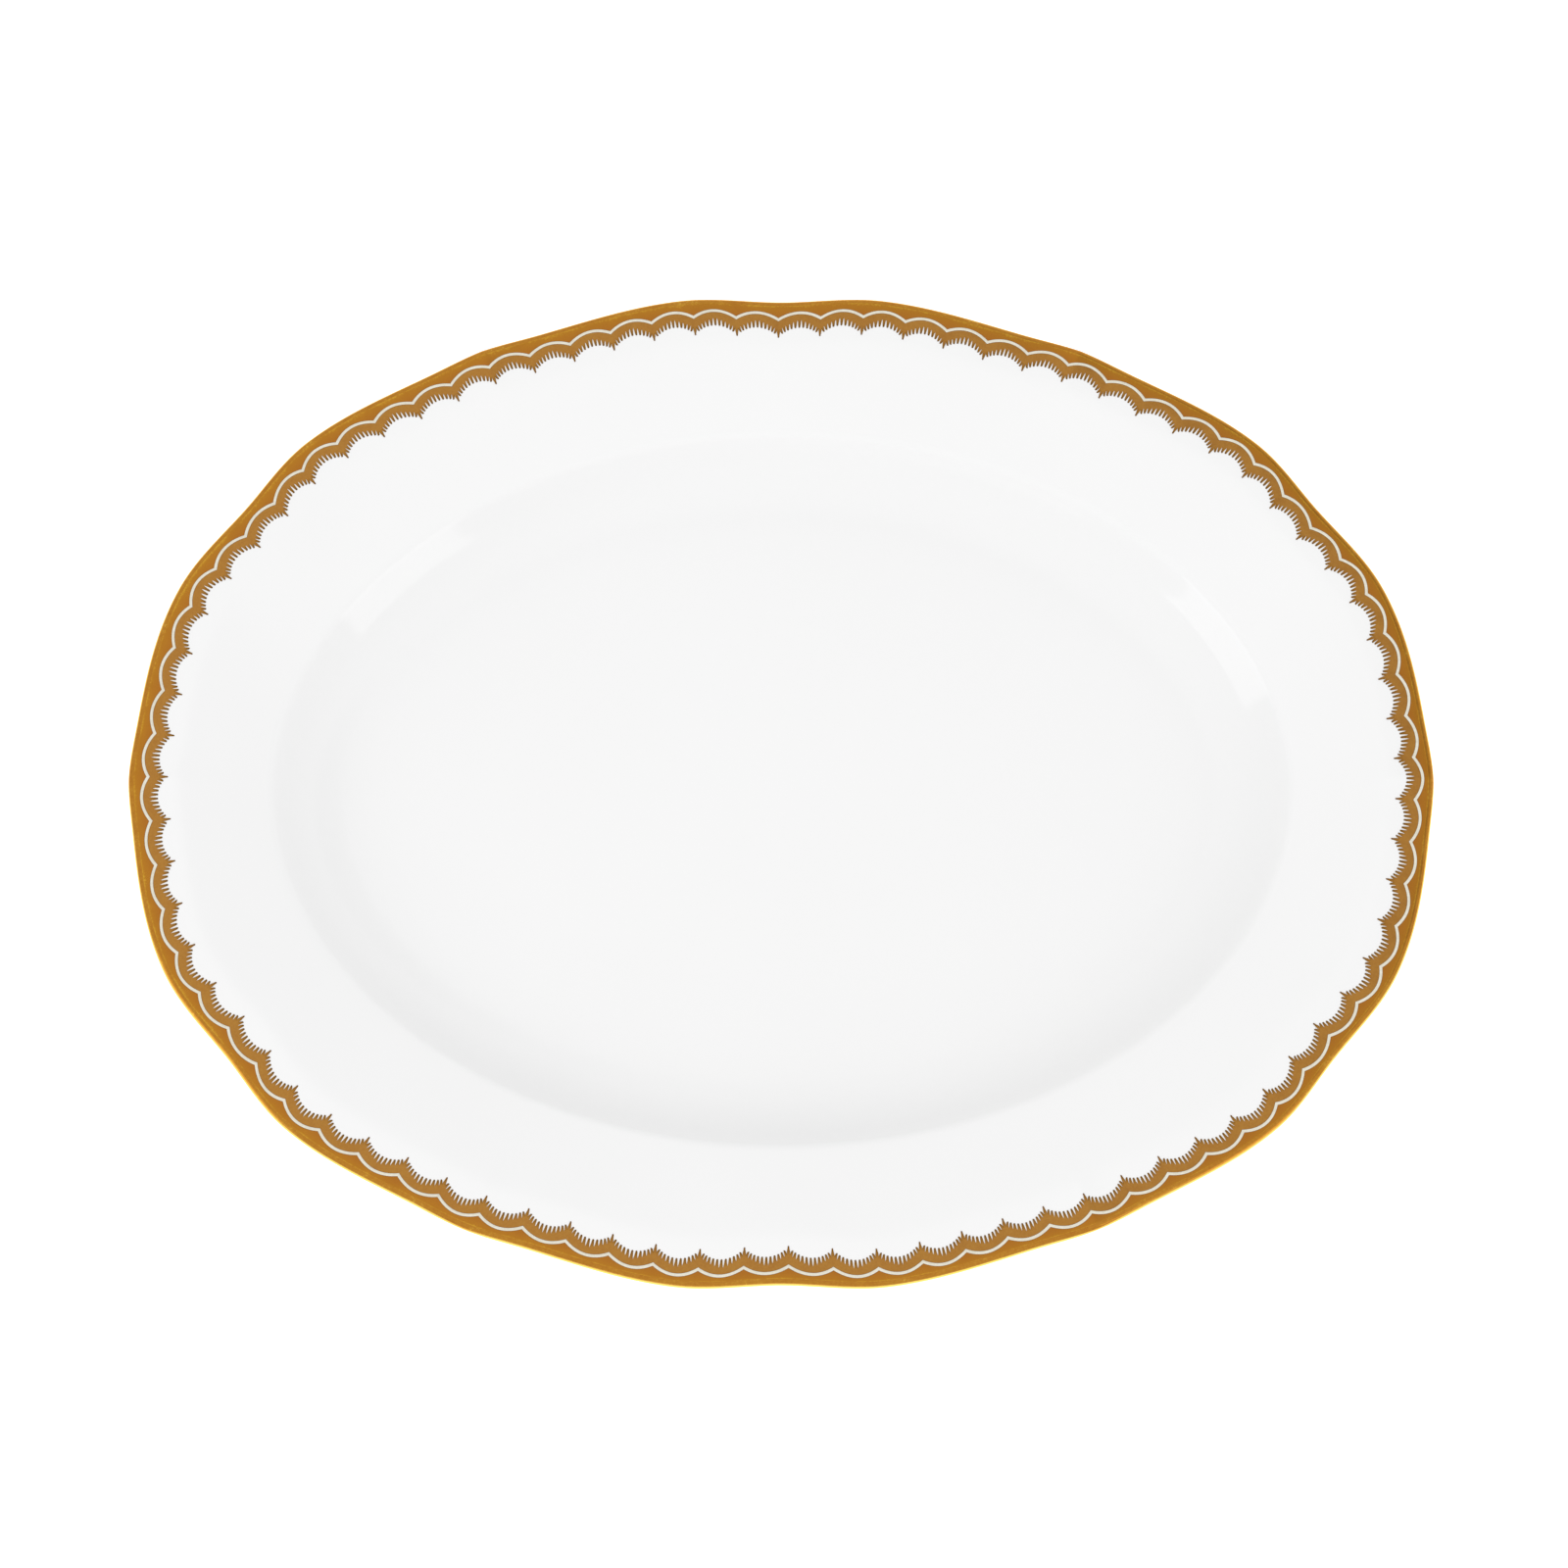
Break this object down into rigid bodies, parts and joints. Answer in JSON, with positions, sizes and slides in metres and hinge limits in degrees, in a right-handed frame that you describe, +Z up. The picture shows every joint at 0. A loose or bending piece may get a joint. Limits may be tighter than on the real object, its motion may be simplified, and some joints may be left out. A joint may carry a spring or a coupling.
{
  "type": "serving platter",
  "caption": "Oval porcelain serving platter with a shallow well, a wide rim, a wavy gilt lip, a pale line of arches and a gold comb border.",
  "frame": {"origin": "middle of the foot's tread, on the surface that the platter stands on", "axes": "+X along the length, +Y across the width, +Z up out of the well"},
  "size_m": [0.4062, 0.3184, 0.0276],
  "materials": {
    "porcelain": "clear glossy glaze over white porcelain",
    "biscuit": "bare ground porcelain, unglazed",
    "burnished_gold": "burnished gold",
    "ground_gold": "dull orange gold print",
    "pale_enamel": "pale grey enamel",
    "matt_gold": "satin gold print"
  },
  "bodies": {
    "root": {"body": "porcelain", "foot_ring": "biscuit", "lip_gilding": "burnished_gold", "ground_band": "ground_gold", "scallop_line": "pale_enamel", "comb_band": "matt_gold"}
  },
  "joints": []
}
